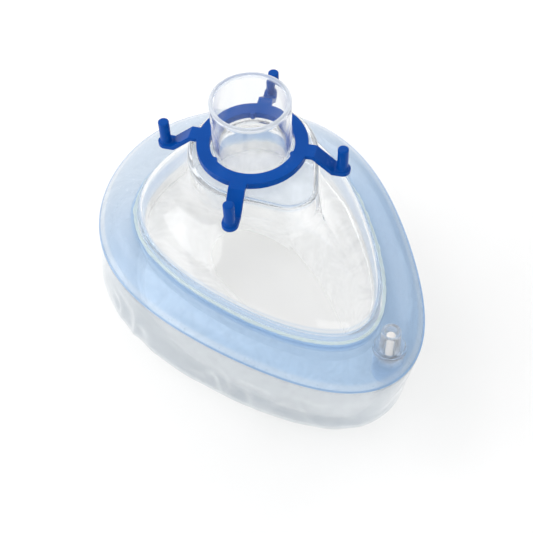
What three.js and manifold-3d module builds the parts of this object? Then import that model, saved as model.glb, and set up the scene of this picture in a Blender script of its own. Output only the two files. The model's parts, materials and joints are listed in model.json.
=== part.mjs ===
// Air-cushion face mask with a 22 mm connector, a hook ring and an inflation valve.
// It lies face down: nose end at -Y, chin end at +Y, connector up. Millimetres.
import * as THREE from "three";
import { mergeVertices } from "three/addons/utils/BufferGeometryUtils.js";
import Module from "manifold-3d";

const wasm = await Module();
wasm.setup();

// Fineness of the round work
const OUTLINE_STEPS = 60;
const ROUND_STEPS = 48;
const SMALL_STEPS = 24;

// Stance
const LEAN = THREE.MathUtils.degToRad(3); // the shell leans this far towards the chin
const SEAM_HEIGHT = 36.3; // the connector's axis crosses the cushion's outer seam this high up
const GAP = 0.35; // between pieces that touch

// Outlines, seen along the connector's axis, which runs through 0, 0
const SEAM = {
  halfWidth: 47.1,
  halfLength: 68.2,
  centre: -7.1,
  taper: 0.21,
  fullness: 0.022,
  corner: -0.037,
};
const BEAD = { halfWidth: 37.3, halfLength: 51.4, centre: -8.4, taper: 0.337, fullness: -0.047, corner: 0 };
const OPENING = { halfWidth: 15.5, halfLength: 35, centre: -14, taper: 0.2, fullness: 0, corner: 0 };
const TURRET_TOP = { radius: 20.8, noseRadius: 9.2, noseCentre: 19.2 };
const TURRET_FOOT = { radius: 20.6, noseRadius: 9.4, noseCentre: 20.4 };

// Heights along the connector's axis, above the seam plane
const SKIRT_FOOT = -5;
const BEAD_HEIGHT = 4.6;
const SHOULDER = 6.5;
const TURRET_FOOT_HEIGHT = 30;
const PLATFORM = 40.3;
const RING_TOP = 43.1;
const RIM = 60.6;

// Shell
const SHELL_WALL = 1.7;
const TURRET_EDGE = 1.9;
const SKIRT_INSET = 1.6; // from the bead's outline in to the skirt's outer face
const TUBE_RADIUS = 12.5;
const RIM_WALL = 1.3;
const TUBE_FOOT_WALL = 1.55;
const TUBE_FILLET = 0.9;

// Cushion
const SHEET = 0.8;
const LIP_BEND = 1.2;
const BULGE = 2.1; // how far the lower cushion stands out past the seam, at the sides and chin
const NOSE_TUCK = 5; // and how much less it does so at the nose
const BOTTOM_ROUND = 11.7;
const REST_WIDTH = 5; // the flat strip that lies on the face
const OPENING_HEIGHT = 12;

// Hook ring
const RING_OUTER = 17.6;
const RING_INNER = 13.4;
const HOOKS = 4;
const FIRST_HOOK = THREE.MathUtils.degToRad(-48.7);
const PEG_CIRCLE = 28.8;
const PEG_FOOT = 37.6;
const PEG_TOP = 46;
const PEG_RADIUS = 1.75;
const ARM_THICKNESS = 1.5;
const ARM_WIDTH = 5.2;
const ARM_BEND_TOP = 20.2; // where the arm turns down
const ARM_BEND_FOOT = 26.3; // where it runs level again
const NUB_RADIUS = 0.9;
const NUB_SINK = 0.4;
const NUB_ANGLES = [55, 176, -58].map(THREE.MathUtils.degToRad);

// Inflation valve
const VALVE_X = 3.3;
const VALVE_Y = -67.2;
const SOCKET_RADIUS = 5;
const SPRING_RADIUS = 1.75;
const WIRE_RADIUS = 0.22;
const SPRING_TURNS = 5;
const SPRING_TOP = 0.3;
const SPRING_FOOT = -3.8;

const full = 2 * Math.PI;
const blend = THREE.MathUtils.lerp;

function material(color, roughness, opacity = 1) {
  const transparent = opacity < 1;
  return new THREE.MeshStandardMaterial({ color, roughness, metalness: 0, opacity, transparent });
}

// Outlines: each is a function of an angle that starts at the nose and runs towards +X.

function egg({ halfWidth, halfLength, centre, taper, fullness, corner }) {
  return (angle) => {
    const narrowing = taper * Math.cos(angle) + fullness * Math.cos(2 * angle) + corner * Math.cos(3 * angle);
    const x = halfWidth * Math.sin(angle) * (1 - narrowing);
    return new THREE.Vector2(x, centre - halfLength * Math.cos(angle));
  };
}

function circle(radius) {
  return (angle) => new THREE.Vector2(radius * Math.sin(angle), -radius * Math.cos(angle));
}

// A large circle and a smaller one towards the nose, joined by their common tangents.
function keel({ radius, noseRadius, noseCentre }) {
  const flatAngle = Math.acos((radius - noseRadius) / noseCentre);
  const noseEnd = Math.atan2(
    noseRadius * Math.sin(flatAngle),
    noseCentre + noseRadius * Math.cos(flatAngle),
  );
  return (angle) => {
    const turn = Math.abs(angle > Math.PI ? full - angle : angle);
    let reach = radius;
    if (turn < noseEnd) {
      const aside = noseCentre * Math.sin(turn);
      reach = noseCentre * Math.cos(turn) + Math.sqrt(noseRadius ** 2 - aside ** 2);
    } else if (turn < flatAngle) {
      reach = radius / Math.cos(flatAngle - turn);
    }
    return circle(reach)(angle);
  };
}

function grown(outline, distance) {
  return (angle) => {
    const along = outline(angle + 0.001).sub(outline(angle - 0.001)).normalize();
    const out = new THREE.Vector2(along.y, -along.x);
    const amount = typeof distance === "function" ? distance(angle) : distance;
    return outline(angle).addScaledVector(out, amount);
  };
}

function between(from, to, share) {
  return (angle) => from(angle).lerp(to(angle), share);
}

// One level of a shell: the outline's points at a height, which may differ from point to point.
function level(outline, height, wall = SHEET) {
  const points = [];
  for (let step = 0; step < OUTLINE_STEPS; step += 1) {
    const angle = (full * step) / OUTLINE_STEPS;
    const { x, y } = outline(angle);
    points.push(new THREE.Vector3(x, y, typeof height === "function" ? height(x, y) : height));
  }
  return { points, wall };
}

function quads(index, rowOf, rows, steps, closed) {
  const last = closed ? rows : rows - 1;
  for (let row = 0; row < last; row += 1) {
    for (let step = 0; step < steps; step += 1) {
      const next = (step + 1) % steps;
      const a = rowOf(row) + step;
      const b = rowOf(row) + next;
      const c = rowOf((row + 1) % rows) + next;
      const d = rowOf((row + 1) % rows) + step;
      index.push(a, b, c, a, c, d);
    }
  }
}

// A closed ring whose section is the loop of levels, in order.
function loopShell(levels) {
  const index = [];
  quads(index, (row) => row * OUTLINE_STEPS, levels.length, OUTLINE_STEPS, true);
  const geometry = new THREE.BufferGeometry().setFromPoints(levels.flatMap(({ points }) => points));
  geometry.setIndex(index);
  return geometry;
}

// A wall whose outer face is the levels, running upward outside or inward on top. Its inner face lies
// each level's wall thickness behind them.
function wallShell(levels) {
  const inner = levels.map(({ points, wall }, row) => {
    const below = levels[Math.max(row - 1, 0)].points;
    const above = levels[Math.min(row + 1, levels.length - 1)].points;
    return points.map((point, step) => {
      const ahead = points[(step + 1) % OUTLINE_STEPS];
      const behind = points[(step + OUTLINE_STEPS - 1) % OUTLINE_STEPS];
      const across = new THREE.Vector3().subVectors(ahead, behind);
      const upward = new THREE.Vector3().subVectors(above[step], below[step]);
      const out = across.cross(upward).normalize();
      return point.clone().addScaledVector(out, -wall);
    });
  });
  return loopShell([...levels, ...inner.reverse().map((points) => ({ points }))]);
}

// Solids for joining and cutting

function toManifold(geometry) {
  const bare = geometry.clone();
  bare.deleteAttribute("normal");
  bare.deleteAttribute("uv");
  const merged = mergeVertices(bare, 0.0001);
  const mesh = new wasm.Mesh({
    numProp: 3,
    vertProperties: new Float32Array(merged.attributes.position.array),
    triVerts: new Uint32Array(merged.index.array),
  });
  return new wasm.Manifold(mesh);
}

function toGeometry(manifold) {
  const mesh = manifold.getMesh();
  const geometry = new THREE.BufferGeometry();
  geometry.setAttribute("position", new THREE.BufferAttribute(mesh.vertProperties, 3));
  geometry.setIndex(new THREE.BufferAttribute(mesh.triVerts, 1));
  return geometry;
}

// A turned piece about +Z, from radius and height pairs.
function turned(profile, steps = SMALL_STEPS) {
  const points = profile.map(([radius, height]) => new THREE.Vector2(radius, height));
  return new THREE.LatheGeometry(points, steps).rotateX(Math.PI / 2);
}

// Shell: skirt, flank, turret and connector in one moulding
function shellDome() {
  const skirt = grown(egg(BEAD), -SKIRT_INSET);
  const foot = keel(TURRET_FOOT);
  const top = keel(TURRET_TOP);
  const levels = [level(skirt, SKIRT_FOOT, SHELL_WALL), level(skirt, SHOULDER, SHELL_WALL)];
  const flank = new THREE.CubicBezierCurve(
    new THREE.Vector2(0, SHOULDER),
    new THREE.Vector2(0, SHOULDER + 8.5),
    new THREE.Vector2(0.8, TURRET_FOOT_HEIGHT - 8),
    new THREE.Vector2(1, TURRET_FOOT_HEIGHT),
  );
  for (const { x: share, y: height } of flank.getPoints(8).slice(1)) {
    levels.push(level(between(skirt, foot, share), height, SHELL_WALL));
  }
  for (const turn of [0, 30, 60, 90].map(THREE.MathUtils.degToRad)) {
    const inset = TURRET_EDGE * (1 - Math.cos(turn));
    const { radius, noseRadius, noseCentre } = TURRET_TOP;
    const edge = keel({ radius: radius - inset, noseRadius: noseRadius - inset, noseCentre });
    levels.push(level(edge, PLATFORM - TURRET_EDGE * (1 - Math.sin(turn)), SHELL_WALL));
  }
  for (const turn of [0, 45, 90].map(THREE.MathUtils.degToRad)) {
    const radius = TUBE_RADIUS + TUBE_FILLET * (1 - Math.sin(turn));
    const height = PLATFORM + TUBE_FILLET * (1 - Math.cos(turn));
    levels.push(level(circle(radius), height, TUBE_FOOT_WALL));
  }
  levels.push(level(circle(TUBE_RADIUS), RIM, RIM_WALL));
  return wallShell(levels);
}

// Blue upper sheet: a collar round the skirt, then the top of the cushion out to the seam
function cushionTop() {
  const bead = egg(BEAD);
  const seam = egg(SEAM);
  const collar = GAP - SKIRT_INSET;
  const levels = [level(grown(bead, collar), SKIRT_FOOT)];
  for (const turn of [0, 45, 90].map(THREE.MathUtils.degToRad)) {
    const outline = grown(bead, collar + LIP_BEND * (1 - Math.cos(turn)));
    levels.push(level(outline, BEAD_HEIGHT - LIP_BEND * (1 - Math.sin(turn))));
  }
  for (const share of [0.2, 0.4, 0.6, 0.75, 0.88, 1]) {
    levels.push(level(between(bead, seam, share), BEAD_HEIGHT * (1 - share ** 2.2)));
  }
  const hole = new THREE.CylinderGeometry(SOCKET_RADIUS + GAP, SOCKET_RADIUS + GAP, 12, SMALL_STEPS);
  hole.rotateX(Math.PI / 2).translate(VALVE_X, VALVE_Y, BEAD_HEIGHT);
  return toGeometry(toManifold(wallShell(levels.reverse())).subtract(toManifold(hole)));
}

// Clear lower film: down from the seam, round the face, and up inside to the foot of the skirt
function cushionBottom() {
  const seam = egg(SEAM);
  const skirt = grown(egg(BEAD), -SKIRT_INSET - SHELL_WALL / 2);
  const opening = egg(OPENING);
  const seamHeight = (x, y) => SEAM_HEIGHT - y * Math.tan(LEAN) - SHEET - GAP;
  const skirtHeight = (x, y) => seamHeight(x, y) + SHEET + SKIRT_FOOT;
  const bulge = (angle) => BULGE - NOSE_TUCK * ((1 + Math.cos(angle)) / 2) ** 3;
  const bulged = (share, inset = 0) => grown(seam, (angle) => share * bulge(angle) - inset);
  const levels = [
    level(bulged(0), seamHeight),
    level(bulged(0.2), (x, y) => seamHeight(x, y) - 5),
    level(bulged(0.65), (x, y) => seamHeight(x, y) - 12),
  ];
  for (const turn of [0, 22.5, 45, 67.5, 90].map(THREE.MathUtils.degToRad)) {
    const inset = BOTTOM_ROUND * (1 - Math.cos(turn));
    levels.push(level(bulged(1, inset), BOTTOM_ROUND * (1 - Math.sin(turn))));
  }
  const restInner = bulged(1, BOTTOM_ROUND + REST_WIDTH);
  for (const turn of [0, 30, 60, 90].map(THREE.MathUtils.degToRad)) {
    levels.push(level(between(restInner, opening, Math.sin(turn)), OPENING_HEIGHT * (1 - Math.cos(turn))));
  }
  for (const turn of [22.5, 45, 67.5, 90].map(THREE.MathUtils.degToRad)) {
    const height = (x, y) => blend(OPENING_HEIGHT, skirtHeight(x, y), Math.sin(turn));
    levels.push(level(between(opening, skirt, 1 - Math.cos(turn)), height));
  }
  return wallShell(levels.reverse());
}

// Line of adhesive that seals the lip to the shell
function bondBead() {
  const radius = 0.6;
  const levels = [];
  for (let side = 0; side < 6; side += 1) {
    const turn = (full * side) / 6;
    const outline = grown(egg(BEAD), -SKIRT_INSET + GAP + radius * (1 + Math.cos(turn)));
    levels.push(level(outline, BEAD_HEIGHT + GAP + radius * (1 + Math.sin(turn))));
  }
  return loopShell(levels);
}

// Ring with four bent arms, each ending in a foot with an upright peg
function hookRing() {
  const ringFoot = PLATFORM + GAP;
  let solid = toManifold(
    turned(
      [
        [RING_INNER, ringFoot],
        [RING_OUTER, ringFoot],
        [RING_OUTER, RING_TOP],
        [RING_INNER, RING_TOP],
        [RING_INNER, ringFoot],
      ],
      ROUND_STEPS,
    ),
  );
  const startRadius = RING_INNER + 2;
  const side = new THREE.Shape([
    new THREE.Vector2(startRadius, RING_TOP),
    new THREE.Vector2(startRadius, RING_TOP - ARM_THICKNESS),
    new THREE.Vector2(ARM_BEND_TOP - 0.6, RING_TOP - ARM_THICKNESS),
    new THREE.Vector2(ARM_BEND_FOOT - 0.6, PEG_FOOT - ARM_THICKNESS),
    new THREE.Vector2(PEG_CIRCLE, PEG_FOOT - ARM_THICKNESS),
    new THREE.Vector2(PEG_CIRCLE, PEG_FOOT),
    new THREE.Vector2(ARM_BEND_FOOT, PEG_FOOT),
    new THREE.Vector2(ARM_BEND_TOP, RING_TOP),
  ]);
  const strap = new THREE.ExtrudeGeometry(side, { depth: ARM_WIDTH, bevelEnabled: false });
  strap.translate(0, 0, -ARM_WIDTH / 2).rotateX(Math.PI / 2);
  const peg = turned([
    [0, PEG_FOOT - ARM_THICKNESS],
    [ARM_WIDTH / 2, PEG_FOOT - ARM_THICKNESS],
    [ARM_WIDTH / 2, PEG_FOOT],
    [PEG_RADIUS + 0.5, PEG_FOOT],
    [PEG_RADIUS + 0.15, PEG_FOOT + 0.4],
    [PEG_RADIUS, PEG_TOP - 0.3],
    [PEG_RADIUS - 0.3, PEG_TOP],
    [0, PEG_TOP],
  ]);
  peg.translate(PEG_CIRCLE, 0, 0);
  const arm = toManifold(strap).add(toManifold(peg));
  for (let hook = 0; hook < HOOKS; hook += 1) {
    const degrees = THREE.MathUtils.radToDeg(FIRST_HOOK + (hook * full) / HOOKS);
    solid = solid.add(arm.rotate([0, 0, degrees]));
  }
  const nub = new THREE.CylinderGeometry(NUB_RADIUS, NUB_RADIUS, RING_TOP - ringFoot, 12);
  nub.rotateX(Math.PI / 2).translate(0, 0, (RING_TOP + ringFoot) / 2);
  for (const angle of NUB_ANGLES) {
    const reach = RING_INNER + NUB_SINK;
    solid = solid.add(toManifold(nub).translate([reach * Math.cos(angle), reach * Math.sin(angle), 0]));
  }
  return toGeometry(solid);
}

// Soft tube welded into the upper sheet
function valveSocket() {
  return turned([
    [4.35, -8],
    [SOCKET_RADIUS, -8],
    [SOCKET_RADIUS, 4.9],
    [SOCKET_RADIUS + 0.4, 5.4],
    [SOCKET_RADIUS + 0.3, 6.2],
    [SOCKET_RADIUS - 0.2, 6.5],
    [4.35, 6.1],
    [4.35, -8],
  ]);
}

// Rigid housing: a female luer mouth above, a valve seat and a spring chamber below
function valveBody() {
  return turned([
    [3.1, -5.2],
    [4, -5.2],
    [4, 5.9],
    [3.35, 6.1],
    [3.1, 14.7],
    [2.85, 15],
    [2.4, 15],
    [2.15, 14.7],
    [2.1, 3.5],
    [3.1, 2.2],
    [3.1, -5.2],
  ]);
}

function valvePlunger() {
  return turned([
    [0, -1.2],
    [0.8, -1.2],
    [1, -1],
    [1, 0.9],
    [2.6, 0.9],
    [2.6, 1.6],
    [1.4, 1.6],
    [1.4, 12.4],
    [1.1, 12.9],
    [0, 13],
  ]);
}

function valveSeal() {
  return turned([
    [1.75, 1.95],
    [2.6, 1.95],
    [2.6, 2.3],
    [1.95, 3.2],
    [1.75, 3.2],
    [1.75, 1.95],
  ]);
}

class Helix extends THREE.Curve {
  getPoint(share) {
    const turn = full * SPRING_TURNS * share;
    const height = blend(SPRING_FOOT + WIRE_RADIUS, SPRING_TOP - WIRE_RADIUS, share);
    return new THREE.Vector3(SPRING_RADIUS * Math.cos(turn), SPRING_RADIUS * Math.sin(turn), height);
  }
}

function valveSpring() {
  const section = new THREE.Shape();
  for (let side = 0; side < 6; side += 1) {
    const turn = (full * side) / 6;
    const place = [WIRE_RADIUS * Math.cos(turn), WIRE_RADIUS * Math.sin(turn)];
    if (side === 0) section.moveTo(...place);
    else section.lineTo(...place);
  }
  return new THREE.ExtrudeGeometry(section, { steps: SPRING_TURNS * 14, extrudePath: new Helix() });
}

function valveRetainer() {
  return turned([
    [0.9, -5],
    [2.75, -5],
    [2.75, -4.2],
    [0.9, -4.2],
    [0.9, -5],
  ]);
}

function piece(name, geometry, finish) {
  const mesh = new THREE.Mesh(geometry, finish);
  mesh.name = name;
  return mesh;
}

const clear = () => material(0xe9eef2, 0.08, 0.3);
const steel = new THREE.MeshStandardMaterial({ color: 0xb9bdc1, roughness: 0.3, metalness: 1 });

const valve = new THREE.Group();
valve.position.set(VALVE_X, VALVE_Y, 0);
valve.add(
  piece("valve_socket", valveSocket(), material(0xcfe0f0, 0.2, 0.4)),
  piece("valve_body", valveBody(), clear()),
  piece("valve_plunger", valvePlunger(), material(0xf3f1ec, 0.4)),
  piece("valve_seal", valveSeal(), material(0x3a3a3c, 0.7)),
  piece("valve_spring", valveSpring(), steel),
  piece("valve_retainer", valveRetainer(), material(0xe6e8ea, 0.4)),
);

const upper = new THREE.Group();
upper.rotation.x = -LEAN;
upper.position.z = SEAM_HEIGHT;
upper.add(
  piece("shell_dome", shellDome(), clear()),
  piece("hook_ring", hookRing(), material(0x0a3fae, 0.35)),
  piece("cushion_top", cushionTop(), material(0xa9c6e8, 0.3, 0.7)),
  piece("bond_bead", bondBead(), material(0xd5e6ea, 0.3, 0.6)),
  valve,
);

const mask = new THREE.Group();
mask.add(upper, piece("cushion_bottom", cushionBottom(), material(0xdfe5ea, 0.25, 0.5)));

// The origin is the middle of the footprint, on the surface that the mask lies on.
const reach = new THREE.Box3().setFromObject(mask, true);
const middle = reach.getCenter(new THREE.Vector3());
mask.position.set(-middle.x, -middle.y, -reach.min.z);

export default mask;
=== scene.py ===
import json
import math

import bpy
import numpy as np
from mathutils import Matrix, Vector, noise


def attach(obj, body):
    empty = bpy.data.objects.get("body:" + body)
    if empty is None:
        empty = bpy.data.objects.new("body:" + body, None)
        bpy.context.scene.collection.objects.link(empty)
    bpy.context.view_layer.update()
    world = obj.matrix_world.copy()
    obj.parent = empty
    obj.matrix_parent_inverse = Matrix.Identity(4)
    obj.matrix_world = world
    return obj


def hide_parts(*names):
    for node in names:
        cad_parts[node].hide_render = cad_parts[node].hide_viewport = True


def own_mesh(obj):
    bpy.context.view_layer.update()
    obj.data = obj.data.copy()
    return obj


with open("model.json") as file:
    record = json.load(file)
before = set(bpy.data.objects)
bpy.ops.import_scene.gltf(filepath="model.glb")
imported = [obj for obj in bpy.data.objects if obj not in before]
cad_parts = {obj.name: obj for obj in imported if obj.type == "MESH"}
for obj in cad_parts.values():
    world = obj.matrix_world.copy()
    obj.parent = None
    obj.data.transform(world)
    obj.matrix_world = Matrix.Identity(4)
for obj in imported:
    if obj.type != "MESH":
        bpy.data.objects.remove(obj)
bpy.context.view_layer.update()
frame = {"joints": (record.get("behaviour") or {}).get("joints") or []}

# The shell frame: millimetres, +Z along the connector, 0 on the plane of the cushion's outer seam.
JOINTS = {joint["name"]: joint for joint in frame["joints"]}
RING_LEVEL = 41.9  # height of the ring's joint in the shell frame
MM = 0.001
LEAN = math.radians(3)
AXIS = Vector(JOINTS["ring_turn"]["axis"]).normalized()
ORIGIN = Vector(JOINTS["ring_turn"]["pos_m"]) - AXIS * RING_LEVEL * MM
TO_ROW = Matrix.Translation(ORIGIN) @ Matrix.Rotation(-LEAN, 4, "X") @ Matrix.Scale(MM, 4)

# Outlines, in the shell frame: half width, half length, centre, taper, fullness, corner
SEAM = (47.1, 68.2, -7.1, 0.21, 0.022, -0.037)
BEAD = (37.3, 51.4, -8.4, 0.337, -0.047, 0.0)
OPENING = (15.5, 35.0, -14.0, 0.2, 0.0, 0.0)
# Radius, nose radius, distance to the nose's centre
TURRET_TOP = (20.8, 9.2, 19.2)
TURRET_FOOT = (20.6, 9.4, 20.4)

# Heights in the shell frame
SKIRT_FOOT = -5.0
BEAD_HEIGHT = 4.6
SHOULDER = 6.5
SHOULDER_RISE = 8.5  # handles of the flank's curve, which runs from the shoulder to the turret
TURRET_DROP = 8.0
FLANK_REACH = 0.8  # how far towards the turret the upper handle lies
TURRET_FOOT_HEIGHT = 30.0
PLATFORM = 40.3
RING_FOOT = 40.65
RING_TOP = 43.1
RIM = 60.6

SHELL_WALL = 1.7
TURRET_EDGE = 1.9
SKIRT_INSET = 1.6
TUBE_RADIUS = 12.5
TUBE_FILLET = 0.9
RIM_WALL = 1.3
TUBE_FOOT_WALL = 1.55
LIP_GAP = 0.35
LIP_BEND = 1.2
FILM = 0.8
BULGE = 2.1
NOSE_TUCK = 5.0
BOTTOM_ROUND = 11.7
REST_WIDTH = 5.0
OPENING_HEIGHT = 12.0

STEPS = 360  # points round an outline
ANGLES = np.arange(STEPS) * 2 * math.pi / STEPS


def smooth_step(low, high, value):
    share = np.clip((value - low) / (high - low), 0, 1)
    return share * share * (3 - 2 * share)


# Outlines: functions of an array of angles that starts at the nose and runs towards +X


def egg(half_width, half_length, centre, taper, fullness, corner):
    """An egg with its narrow end at the nose."""

    def outline(angle):
        shape = 1 - taper * np.cos(angle) - fullness * np.cos(2 * angle) - corner * np.cos(3 * angle)
        return np.stack([half_width * np.sin(angle) * shape, centre - half_length * np.cos(angle)], 1)

    return outline


def circle(radius):
    return lambda angle: np.stack([radius * np.sin(angle), -radius * np.cos(angle)], 1)


def keel(radius, nose_radius, nose_centre):
    """A large circle and a smaller one towards the nose, joined by their common tangents."""
    flat = math.acos((radius - nose_radius) / nose_centre)
    nose_end = math.atan2(nose_radius * math.sin(flat), nose_centre + nose_radius * math.cos(flat))

    def outline(angle):
        turn = np.abs(np.where(angle > math.pi, 2 * math.pi - angle, angle))
        aside = np.minimum(nose_centre * np.sin(turn), nose_radius)
        nose = nose_centre * np.cos(turn) + np.sqrt(nose_radius**2 - aside**2)
        side = radius / np.cos(np.clip(flat - turn, 0, 1.2))
        reach = np.where(turn < nose_end, nose, np.where(turn < flat, side, radius))
        return np.stack([reach * np.sin(angle), -reach * np.cos(angle)], 1)

    return outline


def grown(outline, distance):
    """The outline moved outwards by a distance, or by a function of the angle."""

    def bigger(angle):
        along = outline(angle + 0.001) - outline(angle - 0.001)
        along /= np.linalg.norm(along, axis=1, keepdims=True)
        amount = distance(angle) if callable(distance) else np.full(len(angle), float(distance))
        return outline(angle) + np.stack([along[:, 1], -along[:, 0]], 1) * amount[:, None]

    return bigger


def between(first, last, share):
    return lambda angle: first(angle) * (1 - share) + last(angle) * share


def level(outline, height):
    """The outline's points at one height, or at heights worked out from the points."""
    flat = outline(ANGLES)
    heights = height(flat) if callable(height) else np.full(STEPS, float(height))
    return np.column_stack([flat, heights])


def outside(outline):
    """A function that tells how far a point lies outside the outline."""
    ring = outline(ANGLES)
    out = grown(outline, 1)(ANGLES) - ring

    def measure(point):
        away = np.array(point.xy) - ring
        nearest = np.argmin(np.hypot(away[:, 0], away[:, 1]))
        return float(away[nearest] @ out[nearest])

    return measure


# Meshes


def add_mesh(name, points, faces, place=TO_ROW):
    mesh = bpy.data.meshes.new(name)
    mesh.from_pydata([tuple(point) for point in points], [], faces)
    mesh.transform(place)
    mesh.update()
    mesh.shade_smooth()
    piece = bpy.data.objects.new(name, mesh)
    bpy.context.scene.collection.objects.link(piece)
    return piece


def loop_shell(name, rows, place=TO_ROW):
    """A closed ring whose section is the loop of rows."""
    count, steps = len(rows), len(rows[0])
    faces = []
    for row in range(count):
        for step in range(steps):
            after = (step + 1) % steps
            above = (row + 1) % count * steps
            faces.append((row * steps + step, row * steps + after, above + after, above + step))
    return add_mesh(name, np.concatenate(rows), faces, place)


def behind(rows, walls):
    """The inner face of a wall: each row moved in by its wall, along the outer face's normals."""
    grid = np.array(rows)
    across = np.roll(grid, -1, 1) - np.roll(grid, 1, 1)
    upward = np.gradient(grid, axis=0)
    out = np.cross(across, upward)
    out /= np.linalg.norm(out, axis=2, keepdims=True)
    return list(grid - out * np.asarray(walls)[:, None, None])


def round_edge(first, last, onward, height, count=5):
    """Rows that carry one face of a wall over its edge to the other face."""
    middle, half = (first + last) / 2, (first - last) / 2
    rows = []
    for turn in np.linspace(0, math.pi, count + 2)[1:-1]:
        side = math.copysign(abs(math.cos(turn)) ** 0.6, math.cos(turn))
        rows.append(middle + half * side + onward * height * math.sin(turn) ** 0.6)
    return rows


def wall(name, rows, walls, edge):
    """A wall with rounded edges, whose outer face is the rows."""
    inner = behind(rows, walls)
    ends = []
    for first, before in ((rows[-1], rows[-2]), (rows[0], rows[1])):
        onward = first - before
        ends.append(onward / np.linalg.norm(onward, axis=1, keepdims=True))
    top = round_edge(rows[-1], inner[-1], ends[0], edge)
    foot = round_edge(inner[0], rows[0], ends[1], edge)
    return loop_shell(name, [*rows, *top, *inner[::-1], *foot])


def turned(name, profile, place, steps=96):
    """A turned piece about +Z. A profile of radius and height pairs that closes on itself."""
    turn = np.arange(steps) * 2 * math.pi / steps
    rows = [
        np.column_stack([radius * np.cos(turn), radius * np.sin(turn), np.full(steps, height)])
        for radius, height in profile
    ]
    return loop_shell(name, rows, place)


def softened(profile, radius, count=4):
    """The closed profile again, with its corners rounded."""
    out = []
    points = [np.array(point, float) for point in profile]
    for index, corner in enumerate(points):
        before, after = points[index - 1] - corner, points[(index + 1) % len(points)] - corner
        reach = min(radius, 0.45 * np.linalg.norm(before), 0.45 * np.linalg.norm(after))
        start = corner + before / np.linalg.norm(before) * reach
        end = corner + after / np.linalg.norm(after) * reach
        for share in np.linspace(0, 1, count):
            out.append(start * (1 - share) ** 2 + corner * 2 * share * (1 - share) + end * share**2)
    return out


# Materials

CAUGHT_AFTER = 4.5  # bounces
REFRACTED_FILM_BLUE = (0.30, 0.55, 0.86, 1)  # painted refraction: the blue film as seen through a clear wall beside it, painted onto that wall
FROST_AND_PAINTED_LIGHT = (0.78, 0.84, 0.93, 1)
# White for milky film, also used to paint light into the films.
MILK_AND_PAINTED_LIGHT = (0.98, 0.985, 0.99, 1)
DUST = (0.10, 0.13, 0.18, 1)
SLANT_COVER = 0.4  # how much more a film covers when seen edge on
FILM_EASE = 0.87  # share of the lighting rays that films let straight through


class Nodes:
    """A material's node tree, with short calls for what these materials use."""

    def __init__(self, name):
        self.material = bpy.data.materials.new(name)
        self.material.use_nodes = True
        self.tree = self.material.node_tree
        self.tree.nodes.clear()

    def add(self, kind, settings=(), **inputs):
        """A node with these inputs, given by name or, as i3, by number."""
        node = self.tree.nodes.new("ShaderNode" + kind)
        for key, value in dict(settings).items():
            setattr(node, key, value)
        for key, value in inputs.items():
            numbered = key[0] == "i" and key[1:].isdigit()
            socket = node.inputs[int(key[1:]) if numbered else key.replace("_", " ")]
            if isinstance(value, bpy.types.NodeSocket):
                self.tree.links.new(value, socket)
            else:
                socket.default_value = value
        return node

    def noise(self, scale, detail, rough, vector, swirl=0.0):
        """Noise of this many waves to the metre."""
        inputs = {"Vector": vector, "Scale": scale, "Detail": detail, "Roughness": rough}
        return self.add("TexNoise", Distortion=swirl, **inputs).outputs["Fac"]

    def specks(self, scale, size, share):
        """Small dots, in a share of the cells."""
        cells = self.add("TexVoronoi", Scale=scale).outputs
        near = self.maths("LESS_THAN", cells["Distance"], size)
        return self.maths("MULTIPLY", near, self.maths("LESS_THAN", cells["Color"], share))

    def place(self):
        return self.add("TexCoord").outputs["Object"]

    def spread(self, value, low, high, start=0.3, end=0.7):
        """The value's range from start to end, spread from low to high."""
        node = self.add("MapRange", i0=value, i1=start, i2=end, i3=low, i4=high)
        return node.outputs["Result"]

    def mix_colour(self, share, first, second):
        node = self.add("Mix", {"data_type": "RGBA"}, i0=share, i6=first, i7=second)
        return node.outputs[2]

    def bump(self, height, distance):
        return self.add("Bump", Height=height, Distance=distance, Strength=1.0).outputs["Normal"]

    def attribute(self, name):
        return self.add("Attribute", {"attribute_name": name}).outputs["Fac"]

    def maths(self, operation, first, second):
        return self.add("Math", {"operation": operation}, i0=first, i1=second).outputs[0]

    def soft_rays(self):
        """1 for the rays that light a surface or are caught inside a clear wall, else 0."""
        path = self.add("LightPath").outputs
        lighting = self.maths("MAXIMUM", path["Is Shadow Ray"], path["Is Diffuse Ray"])
        caught = self.maths("GREATER_THAN", path["Ray Depth"], CAUGHT_AFTER)
        return self.maths("MAXIMUM", lighting, caught)

    def slanted(self, head_on, rise, power):
        """A value that grows as a face is seen more edge on, from either side."""
        slant = self.add("LayerWeight", Blend=0.5).outputs["Facing"]
        more = self.maths("MULTIPLY", self.maths("POWER", slant, power), rise)
        return self.maths("ADD", more, head_on)

    def mix(self, share, first, second):
        return self.add("MixShader", i0=share, i1=first, i2=second).outputs[0]

    def finish(self, shader):
        self.add("OutputMaterial", Surface=shader)
        return self.material


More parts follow.
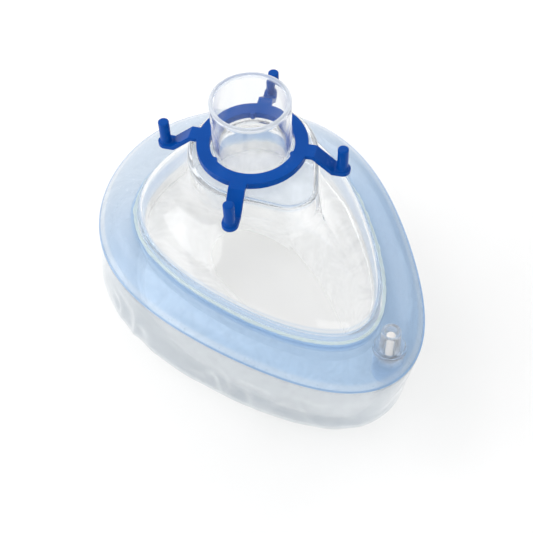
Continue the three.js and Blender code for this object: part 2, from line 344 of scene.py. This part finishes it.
def clear_plastic(name, tint, roughness, ripple, frost=0.012, bend=1.49):
    """Clear moulding: bends light, and lets the lamps through."""
    n = Nodes(name)
    place = n.place()
    waves = n.noise(90, 2, 0.4, place)
    haze = n.spread(n.noise(350, 4, 0.6, place), roughness * 0.6, roughness * 1.6)
    # The edge attribute paints refracted blue into the clear wall's colour.
    glass = n.add(
        "BsdfPrincipled",
        Base_Color=n.mix_colour(n.attribute("edge"), tint, REFRACTED_FILM_BLUE),
        Roughness=haze,
        IOR=bend,
        Specular_Tint=(0.5, 0.5, 0.5, 1),
        Transmission_Weight=1.0,
        Normal=n.bump(waves, ripple),
    ).outputs[0]
    matt = n.add("BsdfDiffuse", Color=FROST_AND_PAINTED_LIGHT).outputs[0]
    body = n.mix(0.5, matt, n.add("BsdfTranslucent", Color=FROST_AND_PAINTED_LIGHT).outputs[0])
    # The frost attribute turns the wall pale: real frost in places, painted highlights and painted
    # light in others.
    skin = n.mix(n.maths("ADD", n.attribute("frost"), frost), glass, body)
    through = n.add("BsdfTransparent", Color=(0.98, 0.98, 0.98, 1)).outputs[0]
    return n.finish(n.mix(n.soft_rays(), skin, through))


def film(name, body, tint, cover, roughness, edge=None):
    """Soft film: part of the light goes straight through, tinted, and part spreads in it."""
    n = Nodes(name)
    place = n.place()
    cloud = n.noise(38, 4, 0.55, place)
    grain = n.noise(900, 3, 0.6, place)
    relief = n.bump(n.noise(120, 3, 0.5, place), 0.00005)
    # The haze attribute whitens the film: partly the film's own milkiness, partly painted light.
    haze = n.attribute("haze")
    whitening_and_painted_light = n.maths("MINIMUM", n.maths("MULTIPLY", haze, 4.0), 1.0)
    tone = n.mix_colour(n.attribute("edge"), n.mix_colour(whitening_and_painted_light, body, MILK_AND_PAINTED_LIGHT), edge or body)
    dust = n.specks(150, 0.022, 0.12)
    tone = n.mix_colour(dust, tone, DUST)
    # Painted light: swirled whitening where haze is set, standing in for lit creases.
    painted_crease_swirls = n.spread(n.noise(45, 4, 0.6, place, 2.5), 0.55, 1.0, 0.35, 0.6)
    matt = n.add("BsdfDiffuse", Color=tone, Normal=relief).outputs[0]
    spread = n.add("BsdfTranslucent", Color=tone, Normal=relief).outputs[0]
    through = n.add("BsdfTransparent", Color=n.mix_colour(whitening_and_painted_light, tint, MILK_AND_PAINTED_LIGHT)).outputs[0]
    cloudy = n.spread(cloud, cover * 0.85, cover * 1.15)
    share = n.maths("ADD", cloudy, n.slanted(0.0, SLANT_COVER, 3.0))
    share = n.maths("ADD", share, n.maths("MULTIPLY", haze, painted_crease_swirls))
    share = n.maths("MAXIMUM", share, n.maths("MAXIMUM", n.attribute("edge"), dust))
    skin = n.mix(share, through, n.mix(0.5, matt, spread))
    gloss = n.spread(grain, roughness * 0.8, roughness * 1.3)
    shine = n.add("BsdfGlossy", Color=(1, 1, 1, 1), Roughness=gloss, Normal=relief).outputs[0]
    skin = n.mix(n.slanted(0.035, 0.965, 5.0), skin, shine)
    lit = n.add("BsdfTransparent", Color=(0.965, 0.965, 0.96, 1)).outputs[0]
    easy = n.maths("MULTIPLY", n.soft_rays(), FILM_EASE)
    return n.finish(n.mix(easy, skin, lit))


def blue_plastic(name):
    n = Nodes(name)
    place = n.place()
    mottle = n.spread(n.noise(60, 4, 0.6, place), 0.0, 1.0)
    tone = n.mix_colour(mottle, (0.001, 0.055, 0.29, 1), (0.002, 0.068, 0.34, 1))
    relief = n.bump(n.noise(1800, 3, 0.6, place), 0.00003)
    shader = n.add(
        "BsdfPrincipled",
        Base_Color=tone,
        Roughness=n.spread(n.noise(240, 4, 0.6, place), 0.17, 0.28),
        Specular_IOR_Level=0.08,
        Normal=relief,
    )
    return n.finish(shader.outputs[0])


def solid(name, colour, second, roughness, grain, metallic=0.0):
    """Opaque material with a fine grain and a little variation of tone."""
    n = Nodes(name)
    place = n.place()
    tone = n.mix_colour(n.spread(n.noise(grain / 4, 4, 0.6, place), 0, 1), colour, second)
    shader = n.add(
        "BsdfPrincipled",
        Base_Color=tone,
        Roughness=n.spread(n.noise(grain, 4, 0.6, place), roughness * 0.8, roughness * 1.2),
        Metallic=metallic,
        Normal=n.bump(n.noise(grain * 3, 3, 0.6, place), 0.00002),
    )
    return n.finish(shader.outputs[0])


def finish_piece(piece, material, slot, body, *nodes):
    piece.data.materials.clear()
    piece.data.materials.append(material)
    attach(piece, body)
    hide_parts(*nodes)
    return piece


def mark(piece, name, rule):
    """A point attribute from each point's place in the shell frame."""
    back = TO_ROW.inverted()
    values = [rule(back @ vertex.co) for vertex in piece.data.vertices]
    attribute = piece.data.attributes.new(name, "FLOAT", "POINT")
    attribute.data.foreach_set("value", values)


# Pieces

REFRACTED_BLUE_LINES = (5.7, 7.1, 8.5, 38.7, 39.8)  # heights of the fine blue lines painted on the shell, painted refractions of the blue parts seen through it
REFRACTED_BLUE_WIDTH = 0.28
TURRET_HIGHLIGHT = 39.4  # height of the painted highlight along the turret's edge
TUBE_CLEAR = 14  # radius that takes in the tube and its fillet


def glued_foot(height):
    """1 along the foot of the dome, where it is glued to the film, fading out above."""
    return float(smooth_step(0.0, 1.0, height) * (1 - smooth_step(5.0, 9.5, height)))


def painted_film_refraction(point):
    """Painted refraction: blue painted onto the clear shell where blue parts show through it, as a
    band along the foot, fine lines on the flank and at the turret's edge, and a faint blue over the
    tube.
    """
    offsets = [(point.z - height) / REFRACTED_BLUE_WIDTH for height in REFRACTED_BLUE_LINES]
    lines = sum(math.exp(-(offset**2)) for offset in offsets)
    away = point.xy.length > TUBE_CLEAR
    tube = float(smooth_step(PLATFORM, PLATFORM + 3, point.z))
    return min(1.0, 0.65 * glued_foot(point.z) + 0.4 * lines * away + 0.045 * tube)


def frost_and_painted_highlight(point):
    """Where the moulding is drawn pale: the cut rim, a painted highlight along the turret's edge, and
    the glued foot.
    """
    rim = float(smooth_step(RIM - 0.7, RIM - 0.3, point.z))
    edge = math.exp(-((point.z - TURRET_HIGHLIGHT) ** 2)) * (point.xy.length > TUBE_CLEAR)
    return 0.6 * rim + 0.14 * edge + 0.3 * glued_foot(point.z)


def shell_dome():
    skirt, turret_foot = grown(egg(*BEAD), -SKIRT_INSET), keel(*TURRET_FOOT)
    top_radius, nose_radius, nose_centre = TURRET_TOP
    rows, walls = [], []

    def add(outline, height, thickness=SHELL_WALL):
        rows.append(level(outline, height))
        walls.append(thickness)

    for height in np.linspace(SKIRT_FOOT + 0.6, SHOULDER, 40):
        add(skirt, height)
    for share in [*np.linspace(0, 0.3, 40)[1:], *np.linspace(0.3, 1, 25)[1:-1]]:
        rest = 1 - share
        out = 3 * rest * share**2 * FLANK_REACH + share**3
        low = rest**3 * SHOULDER + 3 * rest**2 * share * (SHOULDER + SHOULDER_RISE)
        handle = TURRET_FOOT_HEIGHT - TURRET_DROP
        high = 3 * rest * share**2 * handle + share**3 * TURRET_FOOT_HEIGHT
        add(between(skirt, turret_foot, out), low + high)
    edge_foot = PLATFORM - TURRET_EDGE
    for share in np.linspace(0.12, 1, 8):
        height = TURRET_FOOT_HEIGHT + (edge_foot - TURRET_FOOT_HEIGHT) * share
        add(between(turret_foot, keel(*TURRET_TOP), share), height)
    for turn in np.linspace(0, math.pi / 2, 9)[1:]:
        inset = TURRET_EDGE * (1 - math.cos(turn))
        edge = keel(top_radius - inset, nose_radius - inset, nose_centre)
        add(edge, edge_foot + TURRET_EDGE * math.sin(turn))
    tube_foot = circle(TUBE_RADIUS + TUBE_FILLET)
    for share in (0.15, 0.4, 0.7, 0.9):
        add(between(edge, tube_foot, share), PLATFORM)
    for turn in np.linspace(0, math.pi / 2, 6):
        radius = TUBE_RADIUS + TUBE_FILLET * (1 - math.sin(turn))
        add(circle(radius), PLATFORM + TUBE_FILLET * (1 - math.cos(turn)), TUBE_FOOT_WALL)
    tube_start = PLATFORM + TUBE_FILLET
    for share in np.linspace(0.08, 1, 14):
        thickness = TUBE_FOOT_WALL + (RIM_WALL - TUBE_FOOT_WALL) * share
        add(circle(TUBE_RADIUS), tube_start + (RIM - 0.3 - tube_start) * share, thickness)
    piece = wall("dome_moulding", rows, walls, 0.3)
    mark(piece, "edge", painted_film_refraction)
    mark(piece, "frost", frost_and_painted_highlight)
    material = clear_plastic("clear_shell", (0.963, 0.962, 0.958, 1), 0.05, 0.00008)
    return finish_piece(piece, material, "clear_shell", "mask", "shell_dome")


def cushion_top():
    bead, seam = egg(*BEAD), egg(*SEAM)
    collar = LIP_GAP - SKIRT_INSET
    rows = []
    for share in 1 - np.linspace(0, 1, 41):
        rows.append(level(between(bead, seam, share), BEAD_HEIGHT * (1 - share**2.2)))
    for turn in np.linspace(math.pi / 2, 0, 7):
        outline = grown(bead, collar + LIP_BEND * (1 - math.cos(turn)))
        rows.append(level(outline, BEAD_HEIGHT - LIP_BEND * (1 - math.sin(turn))))
    for height in np.linspace(BEAD_HEIGHT - LIP_BEND - 1, SKIRT_FOOT + 0.3, 7):
        rows.append(level(grown(bead, collar), height))
    piece = wall("cushion_upper_film", rows, [FILM] * len(rows), 0.2)
    seam_points = level(seam, 0)

    def near_edge(point):
        away = np.min(np.hypot(seam_points[:, 0] - point.x, seam_points[:, 1] - point.y))
        return float(1 - smooth_step(0.15, 0.6, away)) * 0.6

    mark(piece, "edge", near_edge)
    beyond_bead, beyond_seam = outside(bead), outside(seam)

    def pale(point):
        if beyond_bead(point) < 1:
            return float(1 - smooth_step(0.2, 1.0, point.z)) * 0.5
        margin = -beyond_seam(point)
        weld = smooth_step(0.4, 0.8, margin) * (1 - smooth_step(1.6, 2.6, margin))
        # Milky weld margin, plus painted light: the film drawn paler towards the back and the right.
        return float(0.08 * weld + 0.15 * smooth_step(-15, 45, point.y + 0.2 * point.x))

    mark(piece, "haze", pale)
    body, tint, edge = (0.47, 0.67, 0.93, 1), (0.775, 0.875, 0.985, 1), (0.22, 0.42, 0.78, 1)
    material = film("blue_film", body, tint, 0.2, 0.22, edge)
    finish_piece(piece, material, "blue_film", "mask", "cushion_top")
    return piece


# The lower film stands flat on the floor: millimetres, +Z up, 0 on the floor
FLAT_TO_ROW = Matrix.Translation((ORIGIN.x, ORIGIN.y, 0)) @ Matrix.Scale(MM, 4)
SEAM_LEVEL = ORIGIN.z / MM
FOLD, CREASE = 0.9, 1.6  # how far folds and creases lift the film


def cushion_bottom():
    seam, opening = egg(*SEAM), egg(*OPENING)
    skirt = grown(egg(*BEAD), -SKIRT_INSET - SHELL_WALL / 2)

    def seam_height(flat):
        return SEAM_LEVEL - flat[:, 1] * math.tan(LEAN) - FILM

    def skirt_height(flat):
        return seam_height(flat) + FILM + SKIRT_FOOT - 0.35

    def up_to(top, share):
        return OPENING_HEIGHT + (top - OPENING_HEIGHT) * share

    def bulge(angle):
        return BULGE - NOSE_TUCK * ((1 + np.cos(angle)) / 2) ** 3

    def bulged(share, inset=0.0):
        return grown(seam, lambda angle: share * bulge(angle) - inset)

    rows = []
    for share in np.linspace(0, 1, 22)[:-1]:
        line = bulged(smooth_step(-0.1, 1.0, share))
        rows.append(level(line, lambda flat: seam_height(flat) * (1 - share) + BOTTOM_ROUND * share))
    for turn in np.linspace(0, math.pi / 2, 13):
        inset = BOTTOM_ROUND * (1 - math.cos(turn))
        rows.append(level(bulged(1, inset), BOTTOM_ROUND * (1 - math.sin(turn))))
    for share in (0.33, 0.67):
        rows.append(level(bulged(1, BOTTOM_ROUND + REST_WIDTH * share), 0))
    rest_inner = bulged(1, BOTTOM_ROUND + REST_WIDTH)
    for turn in np.linspace(0, math.pi / 2, 15):
        height = OPENING_HEIGHT * (1 - math.cos(turn))
        rows.append(level(between(rest_inner, opening, math.sin(turn)), height))
    for turn in np.linspace(0, math.pi / 2, 17)[1:]:
        wall_line = between(opening, skirt, 1 - math.cos(turn))
        rows.append(level(wall_line, lambda flat: up_to(skirt_height(flat), math.sin(turn))))
    rows = crumpled(rows[::-1])
    inner = behind(rows, [FILM] * len(rows))
    piece = loop_shell("cushion_lower_film", [*rows, *inner[::-1]], FLAT_TO_ROW)
    material = film("clear_film", (0.66, 0.71, 0.76, 1), (0.90, 0.916, 0.932, 1), 0.2, 0.12)
    beyond_bead = outside(egg(*BEAD))
    # Inside the bead line the film is drawn milky white: partly its own milkiness, partly painted
    # light where it shows white through the dome.
    mark(piece, "haze", lambda point: float(1 - smooth_step(-1.0, 3.0, beyond_bead(point))) * 0.6)
    finish_piece(piece, material, "clear_film", "mask", "cushion_bottom")
    return piece


def ridge(place):
    """Noise with long soft ridges, highest at 1."""
    return 1 - 2 * math.hypot(noise.noise(place), 0.08)


def crumpled(rows):
    """Upright folds and small creases, which fade out at the seam and where the film rests."""
    grid = np.array(rows)
    across = np.roll(grid, -1, 1) - np.roll(grid, 1, 1)
    out = np.cross(across, np.gradient(grid, axis=0))
    out /= np.linalg.norm(out, axis=2, keepdims=True)
    for row, points in enumerate(grid):
        for step, point in enumerate(points):
            place = Vector(point)
            seam_side = float(smooth_step(6, 16, SEAM_LEVEL - point[1] * math.tan(LEAN) - point[2]))
            rest = float(smooth_step(3.0, 18.0, point[2]))
            fold = ridge(Vector((place.x * 0.05, place.y * 0.05, place.z * 0.02)))
            crease = ridge(Vector((place.x * 0.13, place.y * 0.13, place.z * 0.06 + 9)))
            patch = float(smooth_step(0.0, 0.4, noise.noise(place * 0.035)))
            lift = FOLD * (fold - 0.6) + CREASE * patch * (crease - 0.6)
            grid[row, step] += out[row, step] * lift * seam_side * rest
    return list(grid)


def bond_bead():
    path = egg(*BEAD)(ANGLES)
    swell = np.array([noise.noise(Vector((x * 0.16, y * 0.16, 3.0))) for x, y in path])
    lumps = np.array([noise.noise(Vector((x * 0.6, y * 0.6, 7.0))) for x, y in path])
    radius = 0.55 + 0.15 * smooth_step(0.1, 0.5, swell) + 0.08 * lumps
    rows = []
    for side in range(12):
        turn = 2 * math.pi * side / 12
        outward = -SKIRT_INSET + LIP_GAP + radius * (1 + math.cos(turn))
        height = BEAD_HEIGHT + 0.1 + radius * (1 + math.sin(turn))
        outline = grown(egg(*BEAD), lambda angle, outward=outward: outward)
        rows.append(level(outline, lambda flat, height=height: height))
    piece = loop_shell("bond_line", rows)
    material = film("adhesive", (0.84, 0.93, 0.92, 1), (0.93, 0.98, 0.975, 1), 0.4, 0.12)
    return finish_piece(piece, material, "adhesive", "mask", "bond_bead")


HOOKS = 4
FIRST_HOOK = math.radians(-48.7)
RING_OUTER, RING_INNER = 17.6, 13.4
PEG_CIRCLE, PEG_FOOT, PEG_TOP, PEG_RADIUS = 28.8, 37.6, 46.0, 1.75
ARM_THICKNESS, ARM_WIDTH = 1.5, 5.2
ARM_BEND_TOP, ARM_BEND_FOOT = 20.2, 26.3
NUBS = [math.radians(angle) for angle in (55, 176, -58)]
RING_VOXEL = 0.15 * MM


def arm_strap():
    """The bent strap of one hook, along +X."""
    low = ARM_THICKNESS
    side = [
        (RING_INNER + 2, RING_TOP),
        (RING_INNER + 2, RING_TOP - low),
        (ARM_BEND_TOP - 0.6, RING_TOP - low),
        (ARM_BEND_FOOT - 0.6, PEG_FOOT - low),
        (PEG_CIRCLE, PEG_FOOT - low),
        (PEG_CIRCLE, PEG_FOOT),
        (ARM_BEND_FOOT, PEG_FOOT),
        (ARM_BEND_TOP, RING_TOP),
    ]
    half = ARM_WIDTH / 2
    points = [(x, -half, z) for x, z in side] + [(x, half, z) for x, z in side]
    count = len(side)
    faces = [tuple(range(count - 1, -1, -1)), tuple(range(count, 2 * count))]
    for index in range(count):
        after = (index + 1) % count
        faces.append((index, after, count + after, count + index))
    return add_mesh("strap", points, faces, Matrix.Identity(4))


def filled_turn(name, profile, steps=48):
    """A turned piece that starts and ends on the axis."""
    inner = [(0.0001, profile[0][1]), *profile, (0.0001, profile[-1][1])]
    return turned(name, inner, Matrix.Identity(4), steps)


def hook_ring():
    inner = [(RING_INNER, RING_TOP), (RING_INNER, RING_FOOT)]
    outer = [(RING_OUTER, RING_FOOT), (RING_OUTER, RING_TOP)]
    parts = [turned("ring", inner + outer, Matrix.Identity(4), 192)]
    low = PEG_FOOT - ARM_THICKNESS
    for hook in range(HOOKS):
        turn = Matrix.Rotation(FIRST_HOOK + hook * 2 * math.pi / HOOKS, 4, "Z")
        strap = arm_strap()
        foot = filled_turn("foot", [(ARM_WIDTH / 2, low), (ARM_WIDTH / 2, PEG_FOOT)])
        peg = filled_turn(
            "peg",
            [
                (PEG_RADIUS + 0.12, low + 0.2),
                (PEG_RADIUS + 0.12, PEG_FOOT + 0.25),
                (PEG_RADIUS, PEG_FOOT + 0.5),
                (PEG_RADIUS, PEG_TOP - 0.25),
                (PEG_RADIUS - 0.25, PEG_TOP),
            ],
        )
        for part in (foot, peg):
            part.data.transform(Matrix.Translation((PEG_CIRCLE, 0, 0)))
        for part in (strap, foot, peg):
            part.data.transform(turn)
            parts.append(part)
    for angle in NUBS:
        nub = filled_turn("nub", [(0.95, RING_FOOT), (0.95, RING_TOP)], 24)
        reach = RING_INNER + 0.25
        nub.data.transform(Matrix.Translation((reach * math.cos(angle), reach * math.sin(angle), 0)))
        parts.append(nub)
    piece = joined("hook_ring_moulding", parts)
    piece.data.transform(Matrix.Scale(MM, 4))
    remesh(piece, RING_VOXEL, 2)
    piece.data.transform(TO_ROW @ Matrix.Scale(1 / MM, 4))
    return finish_piece(piece, blue_plastic("blue_ring"), "blue_ring", "ring", "hook_ring")


def joined(name, parts):
    """The parts' meshes in one new object."""
    points, faces = [], []
    for part in parts:
        start = len(points)
        points += [vertex.co[:] for vertex in part.data.vertices]
        faces += [tuple(start + index for index in face.vertices) for face in part.data.polygons]
        bpy.data.objects.remove(part)
    return add_mesh(name, points, faces, Matrix.Identity(4))


def apply_modifiers(piece):
    evaluated = piece.evaluated_get(bpy.context.evaluated_depsgraph_get())
    mesh = bpy.data.meshes.new_from_object(evaluated)
    piece.modifiers.clear()
    piece.data = mesh
    piece.data.shade_smooth()


def remesh(piece, voxel, rounds):
    """One skin round overlapping solids, with soft edges like a moulding's."""
    modifier = piece.modifiers.new("skin", "REMESH")
    modifier.mode = "VOXEL"
    modifier.voxel_size = voxel
    smooth = piece.modifiers.new("soften", "SMOOTH")
    smooth.iterations = rounds
    smooth.factor = 0.5
    apply_modifiers(piece)


VALVE_X, VALVE_Y = 3.3, -67.2
VALVE = TO_ROW @ Matrix.Translation((VALVE_X, VALVE_Y, 0))
SPRING_FOOT, SPRING_TOP = -3.8, 0.3


def painted_light_below_film(amount, rim):
    """Painted light below the film: how strongly a valve tube is marked there, and more strongly at
    its cut rim, as a painted highlight.
    """

    def rule(point):
        below = float(1 - smooth_step(1.5, 3.0, point.z))
        return amount * below * (1.0 + 1.2 * float(1 - smooth_step(rim, rim + 0.3, point.z)))

    return rule


def valve():
    tube = [(4.35, -8), (5, -8), (5, 4.7), (5.4, 5.4), (5.3, 6.2), (4.8, 6.5), (4.35, 6.1)]
    socket = turned("valve_tube", softened(tube, 0.3), VALVE)
    soft = clear_plastic("soft_tube", (0.92, 0.96, 1.0, 1), 0.06, 0.00005, 0.08, 1.2)
    # Below the film the socket is painted lighter and bluer, standing in for the light it lets
    # through and the film's refracted blue.
    mark(socket, "frost", painted_light_below_film(0.14, -7.3))
    mark(socket, "edge", painted_light_below_film(0.25, -7.3))
    finish_piece(socket, soft, "soft_tube", "mask", "valve_socket")
    outer = [(3.1, -5.2), (4, -5.2), (4, 5.9), (3.35, 6.1), (3.1, 14.6), (2.85, 15)]
    inner = [(2.4, 15), (2.15, 14.6), (2.1, 3.5), (3.1, 2.2)]
    housing = turned("valve_housing", softened(outer + inner, 0.25), VALVE)
    rigid = clear_plastic("clear_housing", (0.96, 0.97, 0.98, 1), 0.04, 0.00002, 0.12, 1.32)
    # Below the film the housing is painted lighter, standing in for the light it lets through.
    mark(housing, "frost", painted_light_below_film(0.12, -4.7))
    finish_piece(housing, rigid, "clear_housing", "mask", "valve_body")
    lower_stem = [(0.01, -1.2), (1, -1.2), (1, 0.9), (2.6, 0.9), (2.6, 1.6)]
    upper_stem = [(1.4, 1.6), (1.4, 12.6), (1.0, 13), (0.01, 13)]
    plunger = turned("valve_stem", softened(lower_stem + upper_stem, 0.15), VALVE, 64)
    white = solid("white_plunger", (0.76, 0.74, 0.72, 1), (0.70, 0.68, 0.66, 1), 0.4, 900)
    finish_piece(plunger, white, "white_plunger", "plunger", "valve_plunger")
    washer = softened([(1.75, 1.95), (2.6, 1.95), (2.6, 2.3), (1.95, 3.2), (1.75, 3.2)], 0.15)
    seal = turned("valve_washer", washer, VALVE, 64)
    rubber = solid("seal", (0.02, 0.02, 0.022, 1), (0.035, 0.035, 0.04, 1), 0.6, 700)
    finish_piece(seal, rubber, "seal", "plunger", "valve_seal")
    ring = softened([(0.9, -5), (2.75, -5), (2.75, -4.2), (0.9, -4.2)], 0.15)
    retainer = turned("valve_ring", ring, VALVE, 64)
    hard = solid("retainer", (0.88, 0.89, 0.91, 1), (0.83, 0.85, 0.88, 1), 0.45, 700)
    finish_piece(retainer, hard, "retainer", "mask", "valve_retainer")
    steel = solid("steel", (0.72, 0.73, 0.75, 1), (0.62, 0.63, 0.65, 1), 0.34, 1200, 1.0)
    coil = finish_piece(spring(), steel, "steel", "mask", "valve_spring")
    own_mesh(coil)


def spring():
    """Compression spring, with its turns closer together at the ends."""
    turns, radius, wire = 5, 1.75, 0.22
    sides, count = 12, turns * 36
    reach = SPRING_TOP - SPRING_FOOT - 2 * wire
    points = []
    for index in range(count + 1):
        share = index / count
        climb = float(smooth_step(0.0, 1.0, share)) * 0.35 + share * 0.65
        angle = 2 * math.pi * turns * share
        out = Vector((math.cos(angle), math.sin(angle), 0))
        centre = out * radius + Vector((0, 0, SPRING_FOOT + wire + reach * climb))
        for side in range(sides):
            turn = 2 * math.pi * side / sides
            across, up = wire * math.cos(turn), wire * math.sin(turn)
            points.append(centre + out * across + Vector((0, 0, up)))
    faces = [tuple(range(sides)), tuple(range(len(points) - 1, len(points) - sides - 1, -1))]
    for row in range(count):
        for side in range(sides):
            after = (side + 1) % sides
            near, far = row * sides, (row + 1) * sides
            faces.append((near + side, far + side, far + after, near + after))
    return add_mesh("valve_coil", points, faces, VALVE)


# Stage

LAMP_AIM = Vector((0, 0, 0.03))


def camera():
    azimuth, elevation = math.radians(-35.2), math.radians(55.82)
    distance = 0.37677
    aim = Vector((0.0059, 0.0090, 0.0040))
    level_back = Vector((math.sin(azimuth), -math.cos(azimuth), 0))
    back = level_back * math.cos(elevation) + Vector((0, 0, math.sin(elevation)))
    data = bpy.data.cameras.new("camera")
    data.sensor_width = 36
    data.lens = 67.54
    data.clip_start = 0.01
    eye = bpy.data.objects.new("camera", data)
    eye.location = aim + back * distance
    eye.rotation_euler = back.to_track_quat("Z", "Y").to_euler()
    bpy.context.scene.collection.objects.link(eye)
    bpy.context.scene.camera = eye


def area_light(name, place, size, power):
    data = bpy.data.lights.new(name, "AREA")
    data.shape = "RECTANGLE"
    data.size, data.size_y = size
    data.energy = power
    lamp = bpy.data.objects.new(name, data)
    lamp.location = place
    lamp.rotation_euler = (Vector(place) - LAMP_AIM).to_track_quat("Z", "Y").to_euler()
    bpy.context.scene.collection.objects.link(lamp)


def stage():
    points = [(-30, -30, 0), (30, -30, 0), (30, 30, 0), (-30, 30, 0)]
    floor = add_mesh("floor", points, [(0, 1, 2, 3)], Matrix.Identity(4))
    floor.data.materials.append(solid("floor", (0.9, 0.9, 0.9, 1), (0.89, 0.89, 0.89, 1), 0.9, 40))
    world = bpy.data.worlds.new("studio")
    world.use_nodes = True
    background = world.node_tree.nodes["Background"]
    background.inputs["Color"].default_value = (1, 1, 1, 1)
    background.inputs["Strength"].default_value = 0.7
    bpy.context.scene.world = world
    area_light("back", (0.05, 0.85, 0.95), (1.1, 0.8), 1.4)
    area_light("high", (-0.5, 0.6, 0.95), (0.8, 0.6), 3.3)
    area_light("left", (-0.92, 0.48, 0.5), (0.9, 0.6), 4.6)
    area_light("right", (0.95, 0.4, 0.7), (0.9, 0.7), 4)
    area_light("front", (-0.5, -1.0, 0.4), (0.9, 0.5), 2.5)
    bpy.context.scene.view_settings.view_transform = "Standard"


camera()
stage()
shell_dome()
hook_ring()
cushion_top()
cushion_bottom()
bond_bead()
valve()
